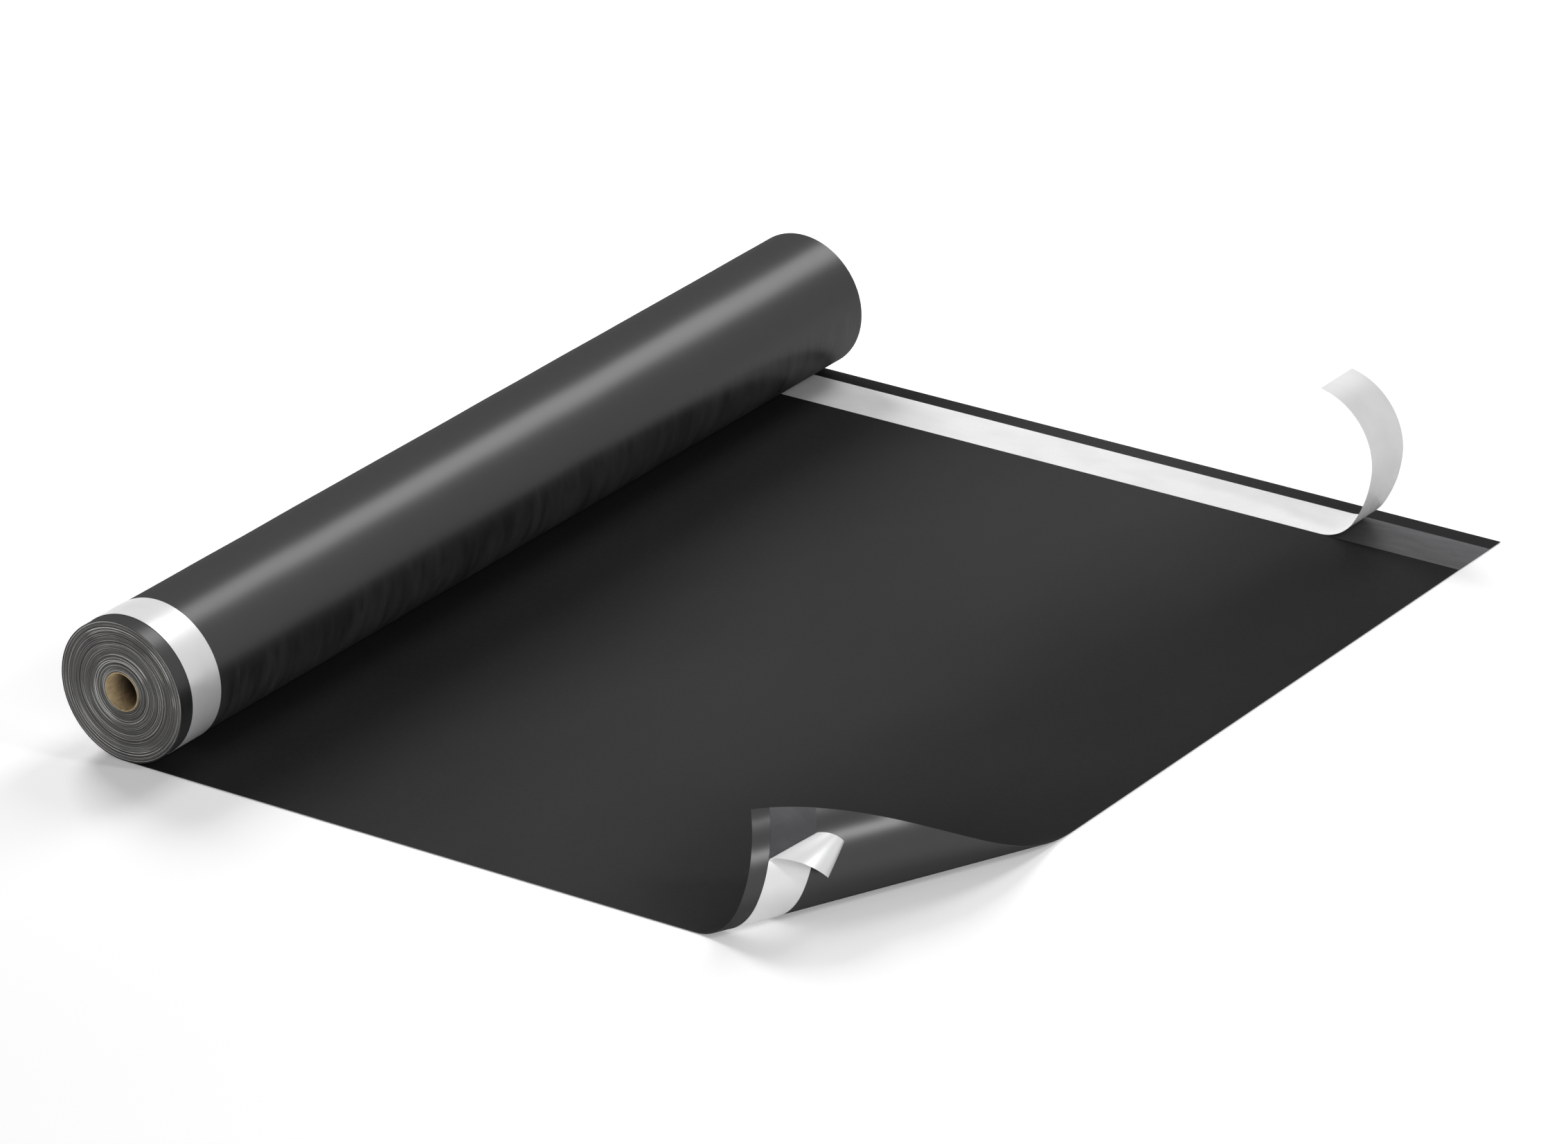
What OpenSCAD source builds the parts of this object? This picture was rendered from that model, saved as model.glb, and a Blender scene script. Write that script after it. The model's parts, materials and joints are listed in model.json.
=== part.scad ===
// Roll of black facade membrane, part unrolled. The web winds on a cardboard core and leaves the
// bottom of the roll as a flat leaf. Each long edge carries an adhesive strip under a release film:
// one on top along the far edge, one on the underside along the near edge. The near front corner of
// the leaf is bent up, and both films are peeled back at the front.
//
// The roll's axis runs along Y, the leaf runs towards +X, and the part lies on the plane z = 0.

/* [Roll] */
// Width of the membrane, along the roll
roll_w = 1500; // [600:10:3000]
// Diameter of the wound membrane
roll_d = 194; // [140:1:300]
// Thickness of the membrane
web_t = 0.55; // [0.3:0.05:1.2]
// Depth of the hollows between the ridges of turns on the roll's ends
end_relief = 1.4; // [0.4:0.1:4]
// Turns of membrane that stand out together as one ridge on the roll's ends
ridge_turns = 5; // [3:1:12]

/* [Core] */
// Diameter of the hole through the cardboard core
core_bore = 50; // [38:1:76]
// Wall of the cardboard core
core_wall = 2; // [1:0.5:8]
// Gap between the core and the innermost turn
core_clearance = 0.2; // [0.1:0.1:1]

/* [Leaf] */
// Length of the leaf, from the roll's lowest line to its front edge
leaf_len = 1125; // [700:5:2500]

/* [Tape layers] */
// Thickness of the adhesive strips
adhesive_t = 0.3; // [0.1:0.05:0.8]
// Thickness of the release films
film_t = 0.15; // [0.05:0.05:0.4]

/* [Upper tape] */
// Bare edge of the leaf outside the upper strip
upper_margin = 28; // [5:1:60]
// Width of the upper strip and its film
upper_w = 78; // [40:1:120]
// Length of the upper strip that the peeled film leaves bare
upper_bare = 216; // [120:1:400]
// Radius of the peeled film where it lifts off
lift_r = 63; // [30:1:120]
// Radius of the peeled film where it rises
rise_r = 177; // [80:1:300]
// Radius of the peeled film where it turns over
crown_r = 97; // [50:1:160]

/* [Lower tape] */
// Bare edge of the membrane outside the lower strip
lower_margin = 23; // [5:1:60]
// Width of the lower strip and its film
lower_w = 57; // [30:1:110]
// Length of the lower strip that the peeled film leaves bare, along its outer edge
lower_bare = 90; // [60:1:150]
// How much further from the fold the film's crease lies at the strip's inner edge than at its outer
crease_rise = 18; // [5:1:30]
// Radius of the peeled film's crease, at its outer edge
crease_r = 3; // [1.5:0.5:8]

/* [Bent corner] */
// Reach of the bent corner along the near edge
fold_x = 233; // [150:1:400]
// Reach of the bent corner along the front edge
fold_y = 475; // [300:1:800]
// Radius of the bend where the corner leaves the floor
bend_r = 47; // [25:1:90]
// Radius of the bend towards the corner's tip
tip_r = 76; // [50:1:160]

/* [Hidden] */

membrane_colour = "#2d2d2f";
adhesive_colour = "#5b5b5e";
film_colour = "#f1f1f1";
core_colour = "#8c7a60";

// Angles through which the upper film turns: where it lifts off, rises and turns over
lift_angle = 56;
rise_angle = 26;
crown_angle = 88;
// Angle through which the corner turns before its radius grows
bend_angle = 86;
// Angles through which the lower film has turned: past its crease, and at its free end
crease_angle = 128;
flap_angle = 245;
// Largest turn from one facet to the next, on the upper film's curl and on the lower film's flap
facet_angle = 3;
flap_facet_angle = 8;
// Change of phase from one ridge of turns to the next, so that no two neighbours are alike
ridge_phase = 137.5;
// Most that a ridge falls short of the roll's end, as a share of the relief
ridge_share = 0.6;
// Where the leaf's solid starts, past the line on which the roll touches the floor
tail = 3;
// Gap between the roll and the start of the upper tape in the nip
nip_clearance = 0.5;
// Width left at the sharp end of a bent band, so that it stays a solid
tip_trim = 0.5;
// Longest step between two straight lines across the bent corner
ruling_step = 6;
// How far a cut runs past what it cuts
overrun = 5;

roll_r = roll_d / 2;
tape_t = adhesive_t + film_t;
axis_z = tape_t + roll_r;
leaf_top = tape_t + web_t;
core_r = core_bore / 2 + core_wall;
wound_r = core_r + core_clearance;
near_y = -roll_w / 2;
far_y = roll_w / 2;
// The part's box is centred on the origin
axis_x = (roll_r + tape_t - leaf_len) / 2;

ridges = max(3, round((roll_r - wound_r) / (web_t * ridge_turns)));
ridge_pitch = (roll_r - wound_r) / ridges;

lower_y0 = near_y + lower_margin;
lower_inner = lower_margin + lower_w;
upper_y1 = far_y - upper_margin;
upper_y0 = upper_y1 - upper_w;
nip_x = sqrt(pow(roll_r, 2) - pow(roll_r - web_t - tape_t, 2)) + nip_clearance;
lift_x = leaf_len - upper_bare;

// The fold runs from the near edge to the front edge. A point of the corner is given by its place
// along the fold and by its distance from the fold, measured over the flat sheet.
fold_len = norm([fold_x, fold_y]);
along = [fold_x, fold_y] / fold_len;
across = [along[1], -along[0]];
fold_start = [leaf_len - fold_x, near_y];

// Distance from the fold of the point where a line, inset from the near edge, meets the front edge
function front_reach(inset) = fold_x * along[1] - inset * along[0];
// Place along the fold where the line at a distance from the fold meets an inset line
function inset_place(inset, s) = (inset + s * along[0]) / along[1];
// Place along the fold where the line at a distance from the fold meets the front edge
function front_place(s) = (fold_x - s * along[1]) / along[0];

inner_reach = front_reach(lower_inner);
outer_reach = front_reach(lower_margin);
tip_reach = front_reach(0);
peel_reach = outer_reach - lower_bare * along[1];
crease_reach = peel_reach + crease_rise;

// Distances from the fold of all the straight lines on which the corner's facets meet
function steps(from, to) =
    let (count = max(1, ceil((to - from) / ruling_step)))
    [for (i = [1:count]) from + (to - from) * i / count];
stops = [0, peel_reach, crease_reach, inner_reach, outer_reach, tip_reach];
rulings = [0, for (i = [1:len(stops) - 1]) each steps(stops[i - 1], stops[i])];

// A sheet's section is a chain of stations on its underside: [reach, height, slope].
// Station at the end of an arc that starts at another station
function arc_end(start, r, angle) = [
    start[0] + r * (sin(start[2] + angle) - sin(start[2])),
    start[1] + r * (cos(start[2]) - cos(start[2] + angle)),
    start[2] + angle
];
// Stations along an arc, without its start
function arc_stations(start, r, angle) =
    let (count = ceil(angle / facet_angle))
    [for (i = [1:count]) arc_end(start, r, angle * i / count)];
function degrees(length, r) = length / r * 180 / PI;
function radians(angle) = angle * PI / 180;

// Section of the upper film, from the nip along the leaf and up through the curl
lift_start = [lift_x, 0, 0];
rise_start = arc_end(lift_start, lift_r, lift_angle);
crown_start = arc_end(rise_start, rise_r, rise_angle);
upper_film_section = [
    [nip_x, 0, 0],
    lift_start,
    each arc_stations(lift_start, lift_r, lift_angle),
    each arc_stations(rise_start, rise_r, rise_angle),
    each arc_stations(crown_start, crown_r, crown_angle)
];

// Section of the bent corner, square to the fold
bend_len = bend_r * radians(bend_angle);
bend_end = arc_end([0, 0, 0], bend_r, bend_angle);
function corner_section(s) = s < bend_len
    ? arc_end([0, 0, 0], bend_r, degrees(s, bend_r))
    : arc_end(bend_end, tip_r, degrees(s - bend_len, tip_r));

// Point of the leaf's frame from its place along the fold, its reach across it and its height
function in_leaf(place) =
    let (spot = fold_start + place[0] * along + place[1] * across)
    [spot[0], spot[1], place[2]];

// Point of the bent corner at a station, at a place along the fold and at a height in the layers
function bent_point(at, v, lift) =
    in_leaf([v, at[0] - lift * sin(at[2]), at[1] + lift * cos(at[2])]);

// The lower film leaves its strip along a crease. Points of the flat corner are given here as
// [place along the fold, distance from the fold], and so is the leaf's own direction ahead.
crease_start = [inset_place(lower_margin, peel_reach), peel_reach];
crease_end = [inset_place(lower_inner, crease_reach), crease_reach];
crease = (crease_end - crease_start) / norm(crease_end - crease_start);
square = [-crease[1], crease[0]];
ahead = [along[0], across[0]];
function crease_place(s) = crease_start[0] + (s - peel_reach) * crease[0] / crease[1];
// Distance from the fold at which the film on the strip has narrowed to the trim beside the crease
film_reach = crease_reach - tip_trim * crease_rise * along[1] / lower_w;
crease_lines = [peel_reach, for (s = steps(peel_reach, crease_reach)) min(s, film_reach)];

// Past the crease the film is a flap. It turns over and curls on, the more tightly the nearer it is
// to the point where the line of the crease would meet the front edge.
crease_bend = crease_r * radians(crease_angle);
curl_r = (lower_bare / (ahead * square) - crease_bend) / radians(flap_angle - crease_angle);
curl_start = arc_end([0, 0, 0], crease_r, crease_angle);
// Section of the flap at the crease's outer end, after a turn
function flap_section(turn) = turn < crease_angle
    ? arc_end([0, 0, 0], crease_r, turn)
    : arc_end(curl_start, curl_r, turn - crease_angle);
// Length of that section up to a turn
function flap_run(turn) = turn < crease_angle
    ? crease_r * radians(turn)
    : crease_bend + curl_r * radians(turn - crease_angle);
// Share of the way from the crease to the free end that lies behind a turn
function flap_share(turn) =
    let (run = flap_run(turn))
    run / (lower_bare * (ahead * square) + run * pow(ahead * crease, 2));
// Point of the flat flap after a turn, straight ahead of the crease's point at a distance from the fold
function flap_spot(turn, s) =
    let (start = [crease_place(s), s])
    start + flap_share(turn) * (fold_x - start * ahead) * ahead;
// Point of the flap after a turn, at a height in the film
function flap_point(turn, spot, lift) =
    let (
        q = (spot - crease_start) * crease,
        size = 1 - q * (ahead * crease) / lower_bare,
        base = crease_start + q * crease,
        foot = corner_section(base[1]),
        at = flap_section(turn),
        away = size * at[0] + lift * sin(turn),
        out = size * at[1] - lift * cos(turn)
    )
    in_leaf([
        base[0] + away * square[0],
        foot[0] + away * square[1] * cos(foot[2]) + out * sin(foot[2]),
        foot[1] + away * square[1] * sin(foot[2]) - out * cos(foot[2])
    ]);

// Profile of one end of the wound membrane, from the core outwards: [radius, depth]
function end_profile() = [
    [wound_r, 0],
    for (i = [0:ridges - 1]) each [
        [
            wound_r + (i + 1/2) * ridge_pitch,
            end_relief * ridge_share * (1 + sin(i * ridge_phase)) / 2
        ],
        if (i < ridges - 1) [wound_r + (i + 1) * ridge_pitch, end_relief]
    ],
    [roll_r, 0]
];

// Places a turned or wound piece on the roll's axis
module on_axis() {
    translate([0, 0, axis_z])
        rotate([-90, 0, 0])
            children();
}

// Moves the part so that its box is centred over the origin
module placed() {
    translate([axis_x, 0, 0])
        children();
}

// Flat band of the leaf's layers between two insets from the near edge, cut along the fold
module flat_band(inset0, inset1, z0, z1) {
    slant = fold_x / fold_y;
    translate([0, 0, z0])
        linear_extrude(z1 - z0)
            polygon([
                [tail, near_y + inset0],
                [fold_start[0] + inset0 * slant, near_y + inset0],
                [fold_start[0] + inset1 * slant, near_y + inset1],
                [tail, near_y + inset1]
            ]);
}

// Thin sheet through rows of points, each of which runs along its underside and back along its top
module thin_sheet(rows) {
    count = len(rows[0]);
    last = count * (len(rows) - 1);
    function end_faces(first) = [
        for (j = [0:count / 2 - 2])
            let (under = first + j, top = first + count - 1 - j)
            each [[under, under + 1, top], [under + 1, top - 1, top]]
    ];
    faces = [
        each end_faces(0),
        for (first = [0:count:last - count], k = [0:count - 1])
            let (a = first + k, b = first + (k + 1) % count)
            each [[a, a + count, b + count], [a, b + count, b]],
        for (face = end_faces(last)) [face[2], face[1], face[0]]
    ];
    polyhedron([for (row = rows) each row], faces);
}

// Bent band of the corner between two heights in the layers, up to a distance from the fold.
// Its ends along each straight line are functions of that line's distance.
module bent_band(z0, z1, reach, start, end) {
    thin_sheet([
        for (s = [for (s = rulings) if (s < reach) s, reach])
            let (at = corner_section(s), v0 = start(s), v1 = end(s))
            [bent_point(at, v0, z0), bent_point(at, v1, z0), bent_point(at, v1, z1), bent_point(at, v0, z1)]
    ]);
}

// Bent band between two insets from the near edge, up to the front edge
module corner_band(z0, z1, inset0, inset1) {
    bent_band(
        z0, z1, front_reach(inset0) - tip_trim,
        function(s) inset_place(inset0, s),
        function(s) min(inset_place(inset1, s), front_place(s))
    );
}

// Lower film on the bent corner, up to its crease
module film_band() {
    bent_band(
        0, film_t, film_reach,
        function(s) max(inset_place(lower_margin, s), crease_place(s)),
        function(s) inset_place(lower_inner, s)
    );
}

// Peeled end of the lower film
module film_flap() {
    count = ceil(flap_angle / flap_facet_angle);
    columns = len(crease_lines);
    thin_sheet([
        for (i = [0:count])
            let (
                turn = flap_angle * i / count,
                spots = [for (s = crease_lines) flap_spot(turn, s)]
            )
            [
                for (spot = spots) flap_point(turn, spot, 0),
                for (j = [columns - 1:-1:0]) flap_point(turn, spots[j], film_t)
            ]
    ]);
}

// Lower tape layer wound on the roll, open where the leaf leaves the roll's bottom
module wound_band(r0, r1) {
    difference() {
        on_axis()
            translate([0, 0, lower_y0])
                difference() {
                    cylinder(h = lower_w, r = r1, $fn = 96);
                    translate([0, 0, -overrun])
                        cylinder(h = lower_w + 2 * overrun, r = r0, $fn = 96);
                }
        translate([tail, lower_y0 - overrun, -overrun])
            cube([roll_r, lower_w + 2 * overrun, leaf_top + overrun]);
    }
}

module core_tube() {
    color(core_colour)
        placed()
            on_axis()
                translate([0, 0, near_y])
                    difference() {
                        cylinder(h = roll_w, r = core_r, $fn = 96);
                        translate([0, 0, -overrun])
                            cylinder(h = roll_w + 2 * overrun, d = core_bore, $fn = 96);
                    }
}

module wound_membrane() {
    ends = end_profile();
    on_axis()
        rotate_extrude($fn = 96)
            polygon([
                for (p = ends) [p[0], near_y + p[1]],
                for (i = [len(ends) - 1:-1:0]) [ends[i][0], far_y - ends[i][1]]
            ]);
}

module flat_leaf() {
    translate([0, 0, tape_t])
        linear_extrude(web_t)
            polygon([
                [tail, near_y], fold_start, fold_start + fold_len * along,
                [leaf_len, far_y], [tail, far_y]
            ]);
}

module membrane() {
    color(membrane_colour)
        placed() {
            wound_membrane();
            flat_leaf();
            corner_band(tape_t, leaf_top, 0, fold_y);
        }
}

module upper_adhesive_strip() {
    color(adhesive_colour)
        placed()
            translate([nip_x, upper_y0, leaf_top])
                cube([leaf_len - nip_x, upper_w, adhesive_t]);
}

module upper_release_film() {
    underside = [for (at = upper_film_section) [at[0], at[1]]];
    topside = [for (at = upper_film_section) [at[0], at[1]] + film_t * [-sin(at[2]), cos(at[2])]];
    color(film_colour)
        placed()
            translate([0, upper_y1, leaf_top + adhesive_t])
                rotate([90, 0, 0])
                    linear_extrude(upper_w)
                        polygon([
                            each underside,
                            for (i = [len(topside) - 1:-1:0]) topside[i]
                        ]);
}

module lower_adhesive_strip() {
    color(adhesive_colour)
        placed() {
            wound_band(roll_r, roll_r + adhesive_t);
            flat_band(lower_margin, lower_inner, film_t, tape_t);
            corner_band(film_t, tape_t, lower_margin, lower_inner);
        }
}

module lower_release_film() {
    color(film_colour)
        placed() {
            wound_band(roll_r + adhesive_t, roll_r + tape_t);
            flat_band(lower_margin, lower_inner, 0, film_t);
            film_band();
            film_flap();
        }
}

core_tube();
membrane();
upper_adhesive_strip();
upper_release_film();
lower_adhesive_strip();
lower_release_film();
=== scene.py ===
"""Dresses a roll of facade membrane that lies part unrolled on a pale studio floor.

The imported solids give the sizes. The outermost web is one sheet here: it goes once round the roll,
runs out flat on the floor and bends up at its near front corner. The lower tape follows the same
path, and the upper tape lies on the leaf.
"""

from __future__ import annotations

import json
import logging
import math
from collections.abc import Sequence
from dataclasses import dataclass
from enum import Enum
from functools import cached_property

import bpy
import numpy as np
from mathutils import Matrix, Vector

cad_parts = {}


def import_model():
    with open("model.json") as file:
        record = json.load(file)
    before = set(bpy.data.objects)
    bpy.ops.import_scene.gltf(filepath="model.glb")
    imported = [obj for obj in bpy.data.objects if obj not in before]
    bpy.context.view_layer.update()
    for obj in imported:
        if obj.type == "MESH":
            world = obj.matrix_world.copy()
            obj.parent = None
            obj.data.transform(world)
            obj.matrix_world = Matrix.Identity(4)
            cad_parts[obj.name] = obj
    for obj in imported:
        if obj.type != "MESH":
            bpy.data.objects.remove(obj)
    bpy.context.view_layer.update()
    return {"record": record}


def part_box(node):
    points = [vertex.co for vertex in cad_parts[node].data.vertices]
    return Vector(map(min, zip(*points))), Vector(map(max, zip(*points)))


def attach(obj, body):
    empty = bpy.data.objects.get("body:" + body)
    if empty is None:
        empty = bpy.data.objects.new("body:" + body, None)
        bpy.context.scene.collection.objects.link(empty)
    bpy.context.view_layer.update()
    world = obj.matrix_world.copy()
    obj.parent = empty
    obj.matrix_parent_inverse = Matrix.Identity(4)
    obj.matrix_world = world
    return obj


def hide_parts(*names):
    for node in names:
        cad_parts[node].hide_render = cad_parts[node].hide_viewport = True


LOG = logging.getLogger("membrane_roll")
SEED = 41

Array = np.ndarray
Triple = tuple[float, float, float]
Tones = tuple[tuple[float, Triple], ...]
Finish = bpy.types.Material
Piece = bpy.types.Object
Socket = bpy.types.NodeSocket

WHITE = (1.0, 1.0, 1.0, 1.0)
UP = np.array([0.0, 0.0, 1.0])


class Side(Enum):
    """Side of a closed sheet that a face lies on. The value is the face's material slot."""

    TOP = 0
    UNDER = 1
    RIM = 2


class RollEnd(Enum):
    """End of the roll. The value is the direction along Y that leads into the roll."""

    NEAR = 1
    FAR = -1


def smooth_step(value: Array, low: float, high: float) -> Array:
    """Eases from 0 at one value to 1 at another.

    Args:
        value: Values to ease.
        low: Value at which the result leaves 0.
        high: Value at which the result reaches 1.

    Returns:
        The eased values, from 0 to 1.
    """
    share = np.clip((value - low) / (high - low), 0.0, 1.0)
    return share * share * (3.0 - 2.0 * share)


def stations(stops: Sequence[float], steps: Sequence[float]) -> Array:
    """Spaces out places along a line, with a step of its own between each two stops.

    Args:
        stops: Places that the line passes through, in rising order.
        steps: Longest step between each stop and the next.

    Returns:
        All places, the stops included.
    """
    places = [stops[0]]
    for start, stop, step in zip(stops[:-1], stops[1:], steps):
        count = max(1, math.ceil((stop - start) / step))
        places.extend(start + (stop - start) * (i + 1) / count for i in range(count))
    return np.array(places)


class MeshDraft:
    """Points and faces of one piece while it is being made."""

    def __init__(self) -> None:
        """Starts an empty draft."""
        self.points: list[Array] = []
        self.faces: list[Array] = []
        self.slots: list[Array] = []
        self.count = 0

    def add_points(self, points: Array) -> Array:
        """Adds a grid of points.

        Args:
            points: Points in rows and columns, with x, y and z last.

        Returns:
            The grid of the points' numbers.
        """
        rows, columns = points.shape[:2]
        numbers = np.arange(rows * columns).reshape(rows, columns) + self.count
        self.points.append(points.reshape(-1, 3))
        self.count += rows * columns
        return numbers

    def skin(self, numbers: Array, slots: int | Array) -> None:
        """Covers a grid of points with quads that face along rows cross columns.

        Args:
            numbers: Grid of point numbers.
            slots: Material slot, one for all faces or one for each row of faces.
        """
        corners = (numbers[:-1, :-1], numbers[1:, :-1], numbers[1:, 1:], numbers[:-1, 1:])
        quads = np.stack(corners, axis=-1)
        column = np.broadcast_to(np.asarray(slots).reshape(-1, 1), quads.shape[:2])
        self.faces.append(quads.reshape(-1, 4))
        self.slots.append(column.reshape(-1))

    @classmethod
    def sheet(cls, under: Array, top: Array) -> MeshDraft:
        """Drafts a thin closed sheet with its rim.

        Args:
            under: Grid of points on the sheet's underside.
            top: Grid of points on its top, row by row over the underside.

        Returns:
            The sheet's draft.
        """
        draft = cls()
        low = draft.add_points(under)
        high = draft.add_points(top)
        draft.skin(high, Side.TOP.value)
        draft.skin(low[:, ::-1], Side.UNDER.value)
        draft.skin(np.stack([low[0], high[0]]), Side.RIM.value)
        draft.skin(np.stack([high[-1], low[-1]]), Side.RIM.value)
        draft.skin(np.stack([low[:, 0], high[:, 0]], axis=1), Side.RIM.value)
        draft.skin(np.stack([high[:, -1], low[:, -1]], axis=1), Side.RIM.value)
        return draft

    @classmethod
    def turned(cls, points: Array, slots: int | Array) -> MeshDraft:
        """Drafts a closed turned form whose rows and columns both run round.

        Args:
            points: Grid with the profile along its rows and the turn along its columns.
            slots: Material slot, one for all faces or one for the faces after each row.

        Returns:
            The form's draft.
        """
        draft = cls()
        numbers = draft.add_points(points)
        around = np.concatenate([numbers, numbers[:, :1]], axis=1)
        draft.skin(np.concatenate([around, around[:1]]), slots)
        return draft

    def make(self, name: str, finishes: Sequence[Finish], crease_deg: float = 40.0) -> Piece:
        """Turns the draft into an object in the scene.

        Args:
            name: Name of the piece.
            finishes: Materials, in the order of the slots.
            crease_deg: Angle above which an edge stays sharp.

        Returns:
            The new object, shaded smooth between its sharp edges.
        """
        mesh = bpy.data.meshes.new(name)
        mesh.from_pydata(np.concatenate(self.points).tolist(), [], np.concatenate(self.faces).tolist())
        for finish in finishes:
            mesh.materials.append(finish)
        mesh.polygons.foreach_set("material_index", np.concatenate(self.slots).astype(np.int32))
        mesh.polygons.foreach_set("use_smooth", np.ones(len(mesh.polygons), dtype=bool))
        mesh.set_sharp_from_angle(angle=math.radians(crease_deg))
        mesh.update()
        piece = bpy.data.objects.new(name, mesh)
        bpy.context.scene.collection.objects.link(piece)
        return piece


@dataclass(frozen=True)
class Grain:
    """Soft noise in a finish: grains to a metre, finer octaves, stretch along X, Y and Z, and warp."""

    per_metre: float
    octaves: float = 2.0
    stretch: Triple = (1.0, 1.0, 1.0)
    warp: float = 0.0


@dataclass(frozen=True)
class Ease:
    """Smooth change from start to end, while the value that drives it goes from low to high."""

    low: float
    high: float
    start: float
    end: float


@dataclass(frozen=True)
class Relief:
    """Bump of a finish: its strength, and the depth in metres that a height of 1 stands for."""

    strength: float
    depth: float


class Shader:
    """Node tree of one finish, or of the surroundings, while it is being made."""

    def __init__(self, owner: Finish | bpy.types.World, surface: str = "Principled BSDF") -> None:
        """Starts on the owner's own nodes.

        Args:
            owner: Material or world that the nodes belong to.
            surface: Name of its surface node.
        """
        owner.use_nodes = True
        self.owner = owner
        self.tree = owner.node_tree
        self.surface = self.tree.nodes[surface]

    @classmethod
    def named(cls, name: str) -> Shader:
        """Starts a new material."""
        return cls(bpy.data.materials.new(name))

    @cached_property
    def place(self) -> Socket:
        """The object's own coordinates."""
        return self.add("ShaderNodeTexCoord").outputs["Object"]

    def add(self, kind: str, **settings: object) -> bpy.types.Node:
        """Adds a node.

        Args:
            kind: Blender's name for the kind of node.
            settings: Properties of the node.

        Returns:
            The new node.
        """
        node = self.tree.nodes.new(kind)
        for name, value in settings.items():
            setattr(node, name, value)
        return node

    def link(self, socket: Socket, value: object) -> None:
        """Links a socket to another socket, or sets its own value.

        Args:
            socket: Input to feed.
            value: Output socket to link, or a plain value.
        """
        if isinstance(value, Socket):
            self.tree.links.new(value, socket)
        else:
            socket.default_value = value

    def feed(self, node: bpy.types.Node, **sockets: object) -> bpy.types.NodeOutputs:
        """Feeds a node's inputs.

        Args:
            node: The node.
            sockets: Sockets or plain values for its inputs, named with _ for each space.

        Returns:
            The node's outputs.
        """
        for name, value in sockets.items():
            self.link(node.inputs[name.replace("_", " ")], value)
        return node.outputs

    def dress(self, **sockets: object) -> None:
        """Feeds the surface's own sockets, named with _ for each space."""
        self.feed(self.surface, **sockets)

    def math(self, operation: str, first: object, second: object = 0.0) -> Socket:
        """Joins two values by arithmetic.

        Args:
            operation: Blender's name for the operation.
            first: First socket or number.
            second: Second socket or number.

        Returns:
            The result's socket.
        """
        node = self.add("ShaderNodeMath", operation=operation)
        self.link(node.inputs[0], first)
        self.link(node.inputs[1], second)
        return node.outputs[0]

    def times(self, first: object, second: object) -> Socket:
        """Multiplies two values."""
        return self.math("MULTIPLY", first, second)

    def plus(self, base: object, value: object, share: float) -> Socket:
        """Adds a share of a value to another value."""
        return self.math("ADD", base, self.times(value, share))

    def blend(self, first: object, second: object, share: float) -> Socket:
        """Blends two values, with the given share of the second."""
        return self.plus(self.times(first, 1.0 - share), second, share)

    def ease(self, value: object, ease: Ease) -> Socket:
        """Lets a value drive a smooth change.

        Args:
            value: Socket that drives it.
            ease: The change.

        Returns:
            The changed value's socket.
        """
        node = self.add("ShaderNodeMapRange", interpolation_type="SMOOTHSTEP")
        ends = {"From_Min": ease.low, "From_Max": ease.high, "To_Min": ease.start, "To_Max": ease.end}
        return self.feed(node, Value=value, **ends)["Result"]

    def noise(self, grain: Grain, along: Socket | None = None) -> Socket:
        """Gives soft noise in the object's own coordinates, or along one value such as a radius.

        Args:
            grain: Size and kind of the noise.
            along: Socket with the one value that the noise changes with, if any.

        Returns:
            The noise's socket, from 0 to 1.
        """
        node = self.add("ShaderNodeTexNoise")
        if along is None:
            mapping = self.add("ShaderNodeMapping")
            self.feed(node, Vector=self.feed(mapping, Vector=self.place, Scale=grain.stretch)["Vector"])
        else:
            node.noise_dimensions = "1D"
            self.feed(node, W=along)
        return self.feed(node, Scale=grain.per_metre, Detail=grain.octaves, Distortion=grain.warp)["Fac"]

    def tint(self, value: object, tones: Tones) -> Socket:
        """Turns a value into a colour.

        Args:
            value: Socket to read.
            tones: Places from 0 to 1 with the linear colour at each.

        Returns:
            The colour's socket.
        """
        node = self.add("ShaderNodeValToRGB")
        elements = node.color_ramp.elements
        while len(elements) < len(tones):
            elements.new(1.0)
        for element, (place, colour) in zip(elements, tones):
            element.position = place
            element.color = (*colour, 1.0)
        return self.feed(node, Fac=value)["Color"]

    def bump(self, height: object, relief: Relief) -> Socket:
        """Turns a height from 0 to 1 into a bumped normal."""
        node = self.add("ShaderNodeBump")
        return self.feed(node, Height=height, Strength=relief.strength, Distance=relief.depth)["Normal"]

    def gloss(self, share: float, roughness: object, normal: object) -> None:
        """Lays a gloss over the surface that is as strong at a glancing angle as from above.

        Args:
            share: Share of the light that the gloss takes.
            roughness: Roughness of the gloss.
            normal: Bumped normal that it shares with the surface.
        """
        node = self.add("ShaderNodeBsdfAnisotropic")
        gloss = self.feed(node, Color=WHITE, Roughness=roughness, Normal=normal)[0]
        mix = self.add("ShaderNodeMixShader")
        for socket, value in zip(mix.inputs, (share, self.surface.outputs[0], gloss)):
            self.link(socket, value)
        self.feed(self.tree.nodes["Material Output"], Surface=mix.outputs[0])

    def axis(self, name: str) -> Socket:
        """Gives one of the object's own coordinates, X, Y or Z."""
        return self.feed(self.add("ShaderNodeSeparateXYZ"), Vector=self.place)[name]

    def from_line(self, x: float, z: float) -> tuple[Socket, Socket]:
        """Gives how far a point lies across and above a line along Y."""
        return self.math("SUBTRACT", self.axis("X"), x), self.math("SUBTRACT", self.axis("Z"), z)

    def seen(self) -> Socket:
        """Tells rays of sight from rays of light.

        Returns:
            A socket with 1 for the camera's own, mirrored and passing rays, and 0 for others.
        """
        rays = self.add("ShaderNodeLightPath").outputs
        direct = self.math("MAXIMUM", rays["Is Camera Ray"], rays["Is Glossy Ray"])
        return self.math("MAXIMUM", direct, rays["Is Transmission Ray"])


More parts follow.
